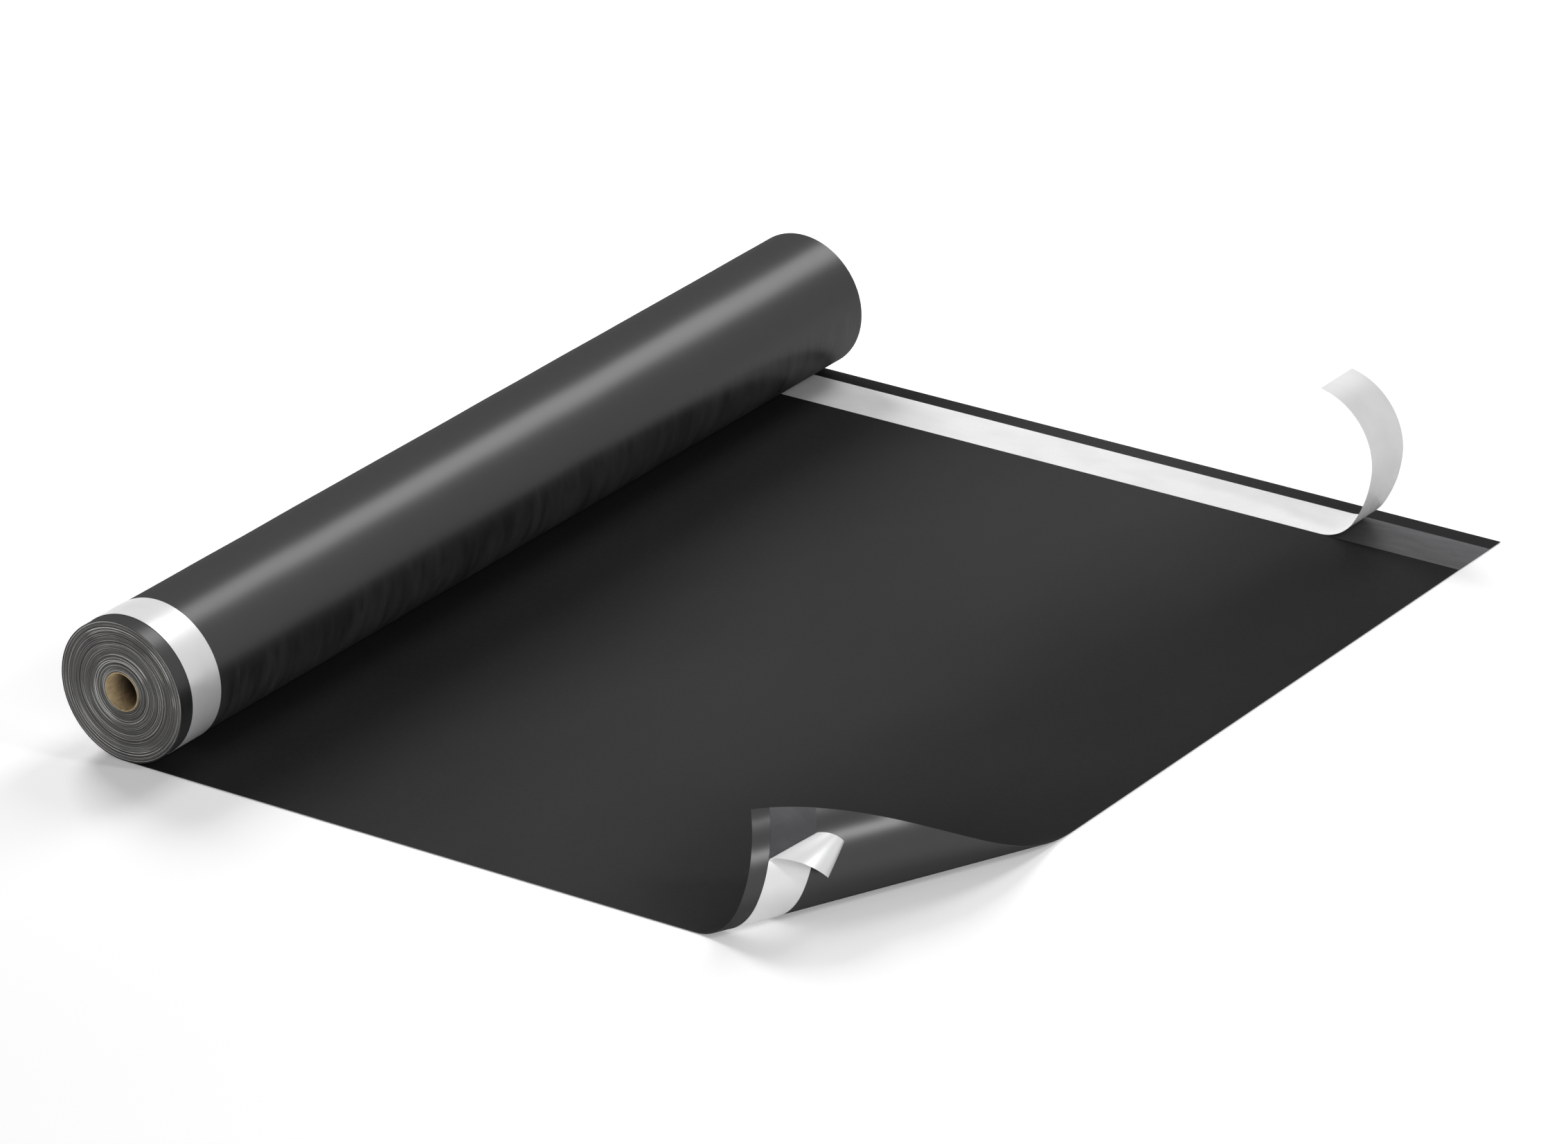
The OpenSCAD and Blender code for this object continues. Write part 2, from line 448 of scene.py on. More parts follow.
@dataclass(frozen=True)
class Stock:
    """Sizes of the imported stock, in metres. The web's own x starts where the roll meets the floor."""

    axis_x: float
    axis_z: float
    near_y: float
    far_y: float
    bore_r: float
    core_r: float
    roll_r: float
    leaf_len: float
    tape_t: float
    leaf_top: float
    adhesive_t: float
    nip_x: float
    upper_y0: float
    upper_y1: float
    lower_y0: float

    @classmethod
    def from_frame(cls, record: dict) -> Stock:
        """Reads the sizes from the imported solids.

        Args:
            record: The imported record.

        Returns:
            The stock's sizes.
        """
        bore = next(mount for mount in record["mounts"] if mount["name"] == "core_bore")
        axis_x, _, axis_z = bore["pos_m"]
        core_low, core_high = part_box("core_tube")
        web_low, web_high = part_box("membrane")
        strip_low, strip_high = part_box("upper_adhesive_strip")
        return cls(
            axis_x=axis_x,
            axis_z=axis_z,
            near_y=web_low.y,
            far_y=web_high.y,
            bore_r=bore["dims"]["r_mm"] / 1000.0,
            core_r=(core_high.z - core_low.z) / 2.0,
            roll_r=axis_z - web_low.z,
            leaf_len=web_high.x - axis_x,
            tape_t=web_low.z,
            leaf_top=strip_low.z,
            adhesive_t=strip_high.z - strip_low.z,
            nip_x=strip_low.x - axis_x,
            upper_y0=strip_low.y,
            upper_y1=strip_high.y,
            lower_y0=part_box("lower_adhesive_strip")[0].y,
        )

    @property
    def web_t(self) -> float:
        """Thickness of the membrane."""
        return self.leaf_top - self.tape_t

    @property
    def film_t(self) -> float:
        """Thickness of a release film."""
        return self.tape_t - self.adhesive_t

    def around(self, radius: Array, y: Array, angles: Array) -> Array:
        """Places points round the roll's axis."""
        x, z = self.axis_x + radius * np.cos(angles), self.axis_z + radius * np.sin(angles)
        return np.stack([x, y, z], axis=-1)


@dataclass(frozen=True)
class Bend:
    """One bent stretch of a sheet's section. A negative radius bends it downwards."""

    radius: float
    length: float


@dataclass(frozen=True)
class Section:
    """Section of a sheet that runs flat up to 0 and then through a chain of bends."""

    bends: tuple[Bend, ...]

    def trace(self, run: Array) -> tuple[Array, Array, Array]:
        """Follows the section.

        Args:
            run: Distances over the sheet, from the start of the first bend.

        Returns:
            Reach along the floor, height, and slope in radians at each distance.
        """
        reach = np.minimum(run, 0.0)
        height = np.zeros_like(reach)
        slope = np.zeros_like(reach)
        start = 0.0
        for bend in self.bends:
            turned = slope + np.clip(run - start, 0.0, bend.length) / bend.radius
            reach = reach + bend.radius * (np.sin(turned) - np.sin(slope))
            height = height + bend.radius * (np.cos(slope) - np.cos(turned))
            slope = turned
            start += bend.length
        return reach, height, slope


@dataclass(frozen=True)
class WebPath:
    """Path of the outermost web: once round the roll, flat on the floor, bent up at one corner."""

    stock: Stock
    fold_x: float = 0.233
    fold_y: float = 0.475
    bend_r: float = 0.047
    bend_deg: float = 86.0
    tip_r: float = 0.076

    @property
    def along(self) -> Array:
        """Direction of the fold in the flat sheet."""
        return np.array([self.fold_x, self.fold_y]) / math.hypot(self.fold_x, self.fold_y)

    @property
    def across(self) -> Array:
        """Direction square to the fold, towards the corner's tip."""
        along = self.along
        return np.array([along[1], -along[0]])

    @property
    def fold_start(self) -> Array:
        """Point where the fold meets the near edge."""
        return np.array([self.stock.leaf_len - self.fold_x, self.stock.near_y])

    @property
    def corner(self) -> Section:
        """Section of the bent corner, square to the fold and as long as the corner's tip is far."""
        bend = Bend(self.bend_r, self.bend_r * math.radians(self.bend_deg))
        return Section((bend, Bend(self.tip_r, self.fold_x * self.along[1])))

    def fold_run(self, x: Array, y: Array) -> Array:
        """Distance of points of the flat sheet from the fold, above 0 towards the tip."""
        start, across = self.fold_start, self.across
        return (x - start[0]) * across[0] + (y - start[1]) * across[1]

    def opening(self, lift: float) -> float:
        """Angle from the roll's lowest line at which a wound layer meets the leaf's top."""
        return math.acos((self.stock.axis_z - self.stock.leaf_top) / (self.stock.axis_z - lift))

    def turn_start(self, lift: float) -> float:
        """The web's own x where its last turn starts, beside the leaf."""
        return -(2.0 * math.pi - self.opening(lift)) * self.stock.roll_r

    def place(self, x: Array, y: Array, lift: float | Array) -> Array:
        """Places points of the web in the part's frame.

        Args:
            x: Distances along the web from the roll's lowest line, below 0 on the roll.
            y: Places across the web.
            lift: Heights above the lower film's underside, measured through the layers.

        Returns:
            The points, with x, y and z last.
        """
        stock = self.stock
        angle = np.minimum(x, 0.0) / stock.roll_r
        radius = stock.axis_z - lift
        wound = np.stack([radius * np.sin(angle), y, stock.axis_z - radius * np.cos(angle)], axis=-1)
        start, along, across = self.fold_start, self.along, self.across
        past = (x - start[0]) * along[0] + (y - start[1]) * along[1]
        reach, height, slope = self.corner.trace(self.fold_run(x, y))
        reach = reach - lift * np.sin(slope)
        laid = np.stack(
            [
                start[0] + past * along[0] + reach * across[0],
                start[1] + past * along[1] + reach * across[1],
                height + lift * np.cos(slope),
            ],
            axis=-1,
        )
        points = np.where((x < 0.0)[..., None], wound, laid)
        return points + np.array([stock.axis_x, 0.0, 0.0])


@dataclass(frozen=True)
class NonwovenFinish:
    """Matte black fleece on the leaf's top, with painted shade beside the roll, a painted sheen band across
    its middle, and darker again towards the leaf's end.

    The band's rise and fall are in metres from the roll's axis.
    """

    roll_x: float
    fibres: Grain = Grain(520.0, 4.0, (1.0, 0.35, 1.0), 0.6)
    cross_fibres: Grain = Grain(430.0, 3.0, (0.4, 1.0, 1.0), 0.4)
    felt_share: float = 0.4
    clouds: Grain = Grain(3.2, 3.0, (1.0, 0.55, 1.0))
    cloud_share: float = 0.34
    # rise: painted shade, dark beside the roll where its shadow falls, paling into the sheen band
    rise: Ease = Ease(0.14, 0.50, 0.12, 0.60)
    # fall: the painted band darkens again towards the leaf's end
    fall: Ease = Ease(0.62, 1.0, 1.0, 0.25)
    tones: Tones = ((0.12, (0.0100, 0.0100, 0.0102)), (0.95, (0.0470, 0.0470, 0.0478)))
    roughness: Ease = Ease(0.1, 0.5, 0.49, 0.65)
    specular: float = 0.005
    relief: Relief = Relief(0.35, 0.0003)

    def material(self) -> Finish:
        """Makes the fleece's material.

        Returns:
            The material.
        """
        shader = Shader.named("membrane_fleece")
        felt = shader.times(shader.noise(self.fibres), shader.noise(self.cross_fibres))
        reach = shader.math("SUBTRACT", shader.axis("X"), self.roll_x)
        # Painted light: the band puts the roll's shadow beside it and a sheen across the leaf's middle into
        # the fleece's colour.
        band = shader.times(shader.ease(reach, self.rise), shader.ease(reach, self.fall))
        share = shader.plus(band, shader.noise(self.clouds), self.cloud_share)
        share = shader.plus(share, felt, self.felt_share)
        shader.dress(
            Base_Color=shader.tint(share, self.tones),
            Roughness=shader.ease(felt, self.roughness),
            Specular_IOR_Level=self.specular,
            Normal=shader.bump(felt, self.relief),
        )
        return shader.owner


@dataclass(frozen=True)
class SatinFinish:
    """Smooth satin coating on the web's underside, which is the roll's outside.

    Its pale smudges fade above the roll's axis and away from the roll; the fade by height also paints shade
    on the roll's top, which comes out darker than its lower part. Both fades are in heights of the axis.
    """

    axis_x: float
    axis_z: float
    smudges: Grain = Grain(9.0, 5.0, (1.0, 2.6, 0.6), 0.8)
    wisps: Grain = Grain(26.0, 4.0, (0.7, 3.2, 0.5), 1.2)
    wisp_share: float = 0.4
    # low: fades the smudges with height and paints the roll's top darker than its lower part as painted
    # shade
    low: Ease = Ease(1.5, 0.5, 0.45, 1.0)
    near: Ease = Ease(2.0, 4.0, 1.0, 0.5)
    grain: Grain = Grain(800.0)
    grain_share: float = 0.05
    relief: Relief = Relief(0.12, 0.0015)
    tones: Tones = ((0.3, (0.0140, 0.0140, 0.0143)), (0.75, (0.0560, 0.0560, 0.0571)))
    roughness: Ease = Ease(0.2, 0.6, 0.31, 0.37)
    sheen_share: float = 0.048

    def material(self) -> Finish:
        """Makes the coating's material.

        Returns:
            The material.
        """
        shader = Shader.named("membrane_satin")
        across, up = shader.from_line(self.axis_x, 0.0)
        cover = shader.blend(shader.noise(self.smudges), shader.noise(self.wisps), self.wisp_share)
        # Smudges and painted shade: the roll's top is darker than its lower part.
        cover = shader.times(cover, shader.ease(shader.math("DIVIDE", up, self.axis_z), self.low))
        cover = shader.times(cover, shader.ease(shader.math("DIVIDE", across, self.axis_z), self.near))
        normal = shader.bump(shader.plus(cover, shader.noise(self.grain), self.grain_share), self.relief)
        shader.dress(
            Base_Color=shader.tint(cover, self.tones),
            Roughness=self.roughness.start,
            Specular_IOR_Level=0.0,
            Normal=normal,
        )
        shader.gloss(self.sheen_share, shader.ease(cover, self.roughness), normal)
        return shader.owner


@dataclass(frozen=True)
class TurnEdgeFinish:
    """Cut edges of the wound turns on the roll's ends, with bright strokes along some of them that are
    partly fuzz and partly painted glints.
    """

    axis_x: float
    axis_z: float
    turn_t: float
    wander: Grain = Grain(9.0, 1.0)
    wander_turns: float = 5.0
    ring_grain: Grain = Grain(480.0)
    rings: Ease = Ease(0.34, 0.56, 0.30, 1.05)
    thread_grain: Grain = Grain(820.0)
    threads: Ease = Ease(0.55, 0.68, 0.0, 1.0)
    arc_grain: Grain = Grain(12.0)
    arcs: Ease = Ease(0.42, 0.60, 0.08, 1.0)
    grain: Grain = Grain(420.0, 3.0)
    grain_tone: Ease = Ease(0.3, 0.7, 0.92, 1.08)
    grain_share: float = 0.2
    tones: Tones = (
        (0.0, (0.014, 0.014, 0.015)),
        (0.45, (0.152, 0.150, 0.144)),
        (1.0, (0.620, 0.615, 0.600)),
    )
    roughness: Ease = Ease(0.3, 0.7, 0.55, 0.75)
    specular: float = 0.3
    relief: Relief = Relief(0.4, 0.0003)

    def material(self) -> Finish:
        """Makes the edges' material.

        The turns' tone, with painted shade in the gaps between them, comes from the mesh.

        Returns:
            The material.
        """
        shader = Shader.named("membrane_turn_edges")
        across, up = shader.from_line(self.axis_x, self.axis_z)
        squares = shader.math("ADD", shader.times(across, across), shader.times(up, up))
        wander = shader.noise(self.wander)
        radius = shader.plus(shader.math("SQRT", squares), wander, self.wander_turns * self.turn_t)
        rings = shader.ease(shader.noise(self.ring_grain, radius), self.rings)
        threads = shader.ease(shader.noise(self.thread_grain, radius), self.threads)
        # Strokes: bright arcs that fade round the end, partly fuzz and partly painted glints.
        strokes = shader.times(threads, shader.ease(shader.noise(self.arc_grain), self.arcs))
        grain = shader.noise(self.grain)
        turn = shader.add("ShaderNodeAttribute", attribute_name=WoundTurns.SHADE).outputs["Fac"]
        shade = shader.times(shader.times(turn, rings), shader.ease(grain, self.grain_tone))
        shader.dress(
            Base_Color=shader.tint(shader.math("ADD", shade, strokes), self.tones),
            Roughness=shader.ease(grain, self.roughness),
            Specular_IOR_Level=self.specular,
            Normal=shader.bump(shader.plus(rings, grain, self.grain_share), self.relief),
        )
        return shader.owner


@dataclass(frozen=True)
class CardboardFinish:
    """Spiral-wound tan cardboard of the core, with painted shade that darkens the bore away from its ends.

    The painted shade deepens over a depth in metres inside each end.
    """

    axis_x: float
    axis_z: float
    end_y: float
    ply_pitch: float = 0.11
    seam: Ease = Ease(0.478, 0.495, 1.0, 0.0)
    seam_tone: Ease = Ease(0.0, 1.0, 0.80, 1.0)
    seam_share: float = 0.8
    fibres: Grain = Grain(260.0, 5.0, (1.0, 0.3, 1.0), 0.5)
    speckle: Grain = Grain(1400.0)
    speckle_share: float = 0.3
    # painted shade inside the bore, deepening away from each end
    painted_bore_shade: Ease = Ease(0.05, 0.0, 0.0, 1.0)
    tones: Tones = (
        (0.0, (0.030, 0.024, 0.016)),
        (0.22, (0.230, 0.168, 0.095)),
        (0.6, (0.520, 0.400, 0.235)),
    )
    roughness: Ease = Ease(0.3, 0.7, 0.72, 0.9)
    specular: float = 0.3
    relief: Relief = Relief(0.35, 0.0004)

    def material(self) -> Finish:
        """Makes the cardboard's material.

        The plies' seam is where the helix passes a whole turn.

        Returns:
            The material.
        """
        shader = Shader.named("core_cardboard")
        across, up = shader.from_line(self.axis_x, self.axis_z)
        turn = shader.math("DIVIDE", shader.math("ARCTAN2", up, across), math.tau)
        helix = shader.math("ADD", shader.math("DIVIDE", shader.axis("Y"), self.ply_pitch), turn)
        from_middle = shader.math("SUBTRACT", shader.math("FRACT", helix), 0.5)
        seam = shader.ease(shader.math("ABSOLUTE", from_middle), self.seam)
        paper = shader.blend(shader.noise(self.fibres), shader.noise(self.speckle), self.speckle_share)
        depth = shader.math("SUBTRACT", self.end_y, shader.math("ABSOLUTE", shader.axis("Y")))
        share = shader.times(paper, shader.ease(seam, self.seam_tone))
        # Painted shade: the cardboard darkens with depth inside each end.
        share = shader.times(share, shader.ease(depth, self.painted_bore_shade))
        shader.dress(
            Base_Color=shader.tint(share, self.tones),
            Roughness=shader.ease(paper, self.roughness),
            Specular_IOR_Level=self.specular,
            Normal=shader.bump(shader.plus(paper, seam, self.seam_share), self.relief),
        )
        return shader.owner


@dataclass(frozen=True)
class AdhesiveFinish:
    """Grey pressure-sensitive adhesive, slightly glossy and faintly streaked by its coating."""

    streaks: Grain = Grain(60.0, 3.0, (0.3, 1.0, 1.0), 0.3)
    pits: Grain = Grain(600.0)
    pit_share: float = 0.35
    tones: Tones = ((0.3, (0.074, 0.074, 0.077)), (0.7, (0.092, 0.092, 0.096)))
    roughness: Ease = Ease(0.3, 0.7, 0.55, 0.37)
    specular: float = 0.08
    relief: Relief = Relief(0.3, 0.0003)

    def material(self) -> Finish:
        """Makes the adhesive's material.

        Returns:
            The material.
        """
        shader = Shader.named("tape_adhesive")
        cover = shader.blend(shader.noise(self.streaks), shader.noise(self.pits), self.pit_share)
        shader.dress(
            Base_Color=shader.tint(cover, self.tones),
            Roughness=shader.ease(cover, self.roughness),
            Specular_IOR_Level=self.specular,
            Normal=shader.bump(cover, self.relief),
        )
        return shader.owner


@dataclass(frozen=True)
class ReleaseFilmFinish:
    """Smooth white siliconised film with faint ripples. A share of it can shine like silver."""

    name: str
    tones: Tones
    roughness: Ease
    specular: float
    silver_share: float
    relief: Relief
    clouds: Grain = Grain(24.0, 3.0, (0.6, 1.0, 0.6))
    ripples: Grain = Grain(70.0, 2.0, (1.0, 0.3, 1.0), 0.4)

    def material(self) -> Finish:
        """Makes the film's material.

        Returns:
            The material.
        """
        shader = Shader.named(self.name)
        clouds = shader.noise(self.clouds)
        shader.dress(
            Base_Color=shader.tint(clouds, self.tones),
            Roughness=shader.ease(clouds, self.roughness),
            Metallic=self.silver_share,
            Specular_IOR_Level=self.specular,
            Normal=shader.bump(shader.noise(self.ripples), self.relief),
        )
        return shader.owner


UPPER_FILM = ReleaseFilmFinish(
    "upper_tape_film",
    tones=((0.25, (0.770, 0.770, 0.775)), (0.75, (0.860, 0.860, 0.862))),
    roughness=Ease(0.3, 0.7, 0.36, 0.25),
    specular=0.05,
    silver_share=0.0,
    relief=Relief(0.08, 0.0008),
)
LOWER_FILM = ReleaseFilmFinish(
    "lower_tape_film",
    tones=((0.25, (0.690, 0.690, 0.694)), (0.75, (0.745, 0.745, 0.748))),
    roughness=Ease(0.3, 0.7, 0.42, 0.31),
    specular=0.3,
    silver_share=0.4,
    relief=Relief(0.05, 0.0008),
)


@dataclass(frozen=True)
class FloorFinish:
    """Pale matte floor that looks white to the camera and in reflections, and keeps the shadow.

    Its lift towards white grows with the distance from the part, in metres.
    """

    colour: Triple = (0.97, 0.97, 0.97)
    lift: Ease = Ease(3.0, 7.0, 0.19, 0.90)
    roughness: float = 0.9

    def material(self) -> Finish:
        """Makes the floor's material.

        Returns:
            The material.
        """
        shader = Shader.named("studio_floor")
        length = shader.add("ShaderNodeVectorMath", operation="LENGTH")
        shader.link(length.inputs[0], shader.place)
        lift = shader.ease(length.outputs["Value"], self.lift)
        shader.dress(
            Base_Color=(*self.colour, 1.0),
            Roughness=self.roughness,
            Specular_IOR_Level=0.0,
            Emission_Color=WHITE,
            Emission_Strength=shader.times(shader.seen(), lift),
        )
        return shader.owner


class Finishes:
    """All finishes of the part, each made once."""

    def __init__(self, stock: Stock) -> None:
        """Makes the materials.

        Args:
            stock: Sizes that some finishes follow.
        """
        self.fleece = NonwovenFinish(stock.axis_x).material()
        self.satin = SatinFinish(stock.axis_x, stock.axis_z).material()
        self.turn_edges = TurnEdgeFinish(stock.axis_x, stock.axis_z, stock.web_t).material()
        self.cardboard = CardboardFinish(stock.axis_x, stock.axis_z, stock.far_y).material()
        self.adhesive = AdhesiveFinish().material()
        self.upper_film = UPPER_FILM.material()
        self.lower_film = LOWER_FILM.material()


@dataclass
class CoreTube:
    """Cardboard core of the roll."""

    stock: Stock
    finishes: Finishes
    rim_round: float = 0.0005
    rim_fray: float = 0.0002
    turn_facets: int = 96
    bore_rows: int = 40
    crease_deg: float = 60.0

    def build(self) -> Piece:
        """Builds the core with rounded, slightly frayed rims.

        Returns:
            The core's object.
        """
        stock, soft = self.stock, self.rim_round
        near, far, inner, outer = stock.near_y, stock.far_y, stock.bore_r, stock.core_r
        rim = [(inner, soft), (inner + soft, 0.0), (outer - soft, 0.0), (outer, soft)]
        outline = [(r, near + depth) for r, depth in rim]
        outline += [(r, far - depth) for r, depth in reversed(rim)]
        bore = np.linspace(far - soft, near + soft, self.bore_rows + 1)[1:-1]
        profile = np.array(outline + [(inner, y) for y in bore])
        angles = np.linspace(0.0, math.tau, self.turn_facets, endpoint=False)
        fray = np.random.default_rng(SEED).uniform(0.0, self.rim_fray, (len(profile), self.turn_facets))
        inwards = np.where(profile[:, 1] < 0.0, RollEnd.NEAR.value, RollEnd.FAR.value)
        depth = profile[:, 1:] + fray * inwards[:, None]
        draft = MeshDraft.turned(stock.around(profile[:, :1], depth, angles), 0)
        return draft.make("core_cardboard_tube", [self.finishes.cardboard], self.crease_deg)


@dataclass
class WoundTurns:
    """Turns of membrane under the outermost one, with their uneven edges on both ends."""

    SHADE = "turn_shade"

    stock: Stock
    finishes: Finishes
    core_gap: float = 0.0002
    outer_room_turns: float = 1.7
    ridge_count: int = 30
    ridge_widths: tuple[float, float] = (0.5, 1.6)
    relief: float = 0.0011
    set_back: float = 0.0010
    wobble: float = 0.0003
    sway_share: float = 0.45
    flutter_share: float = 0.3
    flutter_waves: tuple[int, int] = (3, 8)
    tones: tuple[float, float] = (0.30, 0.72)
    # painted shade in the recessed gaps between ridges
    painted_gap_shade: float = 0.8
    flutter_shade: float = 0.15
    sway_shade: float = 0.15
    turn_facets: int = 192
    crease_deg: float = 75.0
    crown_shares: tuple[float, ...] = (0.06, 0.32, 0.68, 0.94)
    crown_depths: tuple[float, ...] = (1.0, 0.12, 0.0, 0.75)

    @property
    def outer_r(self) -> float:
        """Radius under the outermost turn, with room for its soft dents."""
        return self.stock.roll_r - self.outer_room_turns * self.stock.web_t

    def end_rows(self, end: RollEnd, angles: Array) -> tuple[Array, Array, Array]:
        """Works out one end of the turns, from the core outwards.

        Args:
            end: Which end.
            angles: Angles round the axis.

        Returns:
            Radius, place along Y and shade of every point, in rows of one ridge edge each.
        """
        stock = self.stock
        rng = np.random.default_rng(SEED + end.value)
        widths = rng.uniform(*self.ridge_widths, self.ridge_count)
        inner = stock.core_r + self.core_gap
        edges = inner + (self.outer_r - inner) * np.append(0.0, np.cumsum(widths)) / widths.sum()
        outside = stock.near_y if end is RollEnd.NEAR else stock.far_y
        radii, places, shades = [], [], []
        for low, high in zip(edges[:-1], edges[1:]):
            phase, second = rng.uniform(0.0, math.tau, 2)
            back = rng.uniform(0.0, self.set_back)
            tone = rng.uniform(*self.tones)
            sway = 0.5 + 0.5 * np.sin(angles + phase)
            flutter = np.sin(rng.integers(*self.flutter_waves) * angles + second)
            swayed_back = back * (1.0 - self.sway_share + self.sway_share * sway)
            toned = tone * (1.0 - self.flutter_shade + self.flutter_shade * flutter)
            for share, deep in zip(self.crown_shares, self.crown_depths):
                radii.append(low + (high - low) * share + self.wobble * sway * (share - 0.5))
                depth = swayed_back + self.relief * deep * (1.0 + self.flutter_share * flutter)
                places.append(outside + end.value * depth)
                # Painted shade: the gaps between the ridges are darkened where shade would fall.
                shades.append(toned * (1.0 - self.painted_gap_shade * deep) + self.sway_shade * sway * (1.0 - deep))
        return np.array(radii), np.array(places), np.array(shades)

    def build(self) -> Piece:
        """Builds the turns as one closed turned mesh.

        Returns:
            The turns' object, with the shade of each edge as an attribute.
        """
        angles = np.linspace(0.0, math.tau, self.turn_facets, endpoint=False)
        near = self.end_rows(RollEnd.NEAR, angles)
        far = self.end_rows(RollEnd.FAR, angles)
        radius, along, shade = (np.concatenate([out, back[::-1]]) for out, back in zip(near, far))
        slots = np.ones(len(radius), dtype=int)
        slots[[len(near[0]) - 1, -1]] = 0
        draft = MeshDraft.turned(self.stock.around(radius, along, angles), slots)
        piece = draft.make("wound_turns", [self.finishes.satin, self.finishes.turn_edges], self.crease_deg)
        attribute = piece.data.attributes.new(self.SHADE, "FLOAT", "POINT")
        attribute.data.foreach_set("value", np.clip(shade, 0.0, 1.0).reshape(-1).astype(np.float32))
        return piece


@dataclass(frozen=True)
class Wave:
    """Sine wave over a sheet, in radians to each unit along and across it."""

    along: float
    across: float
    phase: float = 0.0

    def at(self, along: Array, across: Array) -> Array:
        """Height of the wave at places along and across the sheet."""
        return np.sin(self.along * along + self.across * across + self.phase)


@dataclass
class MembraneSheet:
    """Outermost web: the last turn round the roll, the leaf and its bent corner."""

    stock: Stock
    path: WebPath
    finishes: Finishes
    turn_step: float = 0.0045
    field_step: float = 0.020
    corner_step: float = 0.005
    dent: float = 0.00018
    dent_base: float = 1.5
    dents: tuple[Wave, Wave] = (Wave(3.0, 9.0), Wave(2.0, 23.0))
    fine_dents: tuple[Wave, Wave] = (Wave(7.0, -31.0), Wave(0.0, 11.0))
    fine_share: float = 0.5
    dent_angles: tuple[float, float, float] = (0.3, 5.6, 2.0 * math.pi)
    rim_fade: float = 0.05
    swell: float = 0.0012
    swells: tuple[Wave, Wave] = (Wave(11.0, 1.4), Wave(0.0, 2.3, 0.8 + math.pi / 2.0))
    swell_sway: float = 3.1
    edge_fade: float = 0.18
    nip_margin: float = 0.10
    near_margin: float = 0.09
    fold_margin: float = 0.02

    def dents_at(self, x: Array, y: Array) -> Array:
        """Soft dents of the wound turn, which end where it leaves the roll and at its rims.

        Args:
            x: Distances along the web.
            y: Places across it.

        Returns:
            How far each point lies inside its even place.
        """
        angle, far = x / self.stock.roll_r, self.stock.far_y
        slanted, crossing = self.dents
        dents = slanted.at(angle, y) * crossing.at(np.sin(angle), y)
        slanted, crossing = self.fine_dents
        dents = dents + self.fine_share * slanted.at(angle, y) * crossing.at(angle, y)
        leave, close, end = self.dent_angles
        ease = smooth_step(-angle, 0.0, leave) * smooth_step(angle, -end, -close)
        rims = smooth_step(np.abs(y), far, far - self.rim_fade)
        return self.dent * ease * (self.dent_base + dents) * rims

    def swells_at(self, x: Array, y: Array) -> Array:
        """Low swells of the leaf, which end before its edges, its upper tape and the fold.

        Args:
            x: Distances along the web.
            y: Places across it.

        Returns:
            How far each point stands above its even place.
        """
        stock, fade = self.stock, self.edge_fade
        near = stock.near_y + self.near_margin
        inner = smooth_step(x, self.nip_margin, self.nip_margin + 2.0 * fade)
        inner = inner * smooth_step(x, stock.leaf_len, stock.leaf_len - fade)
        inner = inner * smooth_step(y, near, near + fade)
        inner = inner * smooth_step(y, stock.upper_y0, stock.upper_y0 - fade)
        inner = inner * smooth_step(self.path.fold_run(x, y), -self.fold_margin, -self.fold_margin - fade)
        along, crossing = self.swells
        waves = 1.0 + along.at(x, np.sin(self.swell_sway * y)) * crossing.at(x, y)
        return self.swell * inner * waves

    def build(self) -> Piece:
        """Builds the sheet as a thin closed mesh.

        Returns:
            The sheet's object.
        """
        stock, path = self.stock, self.path
        fold_x, fold_y = path.fold_start[0], stock.near_y + path.fold_y
        run = stations(
            (path.turn_start(stock.tape_t), 0.0, fold_x, stock.leaf_len),
            (self.turn_step, self.field_step, self.corner_step),
        )
        wide = stations((stock.near_y, fold_y, stock.far_y), (self.corner_step, self.field_step))
        x, y = np.meshgrid(run, wide, indexing="ij")
        proud = np.where(x < 0.0, self.dents_at(x, y), self.swells_at(x, y))
        draft = MeshDraft.sheet(
            path.place(x, y, stock.tape_t + proud), path.place(x, y, stock.leaf_top + proud)
        )
        finishes = self.finishes
        piece = draft.make("membrane_sheet", [finishes.fleece, finishes.satin, finishes.satin])
        return piece


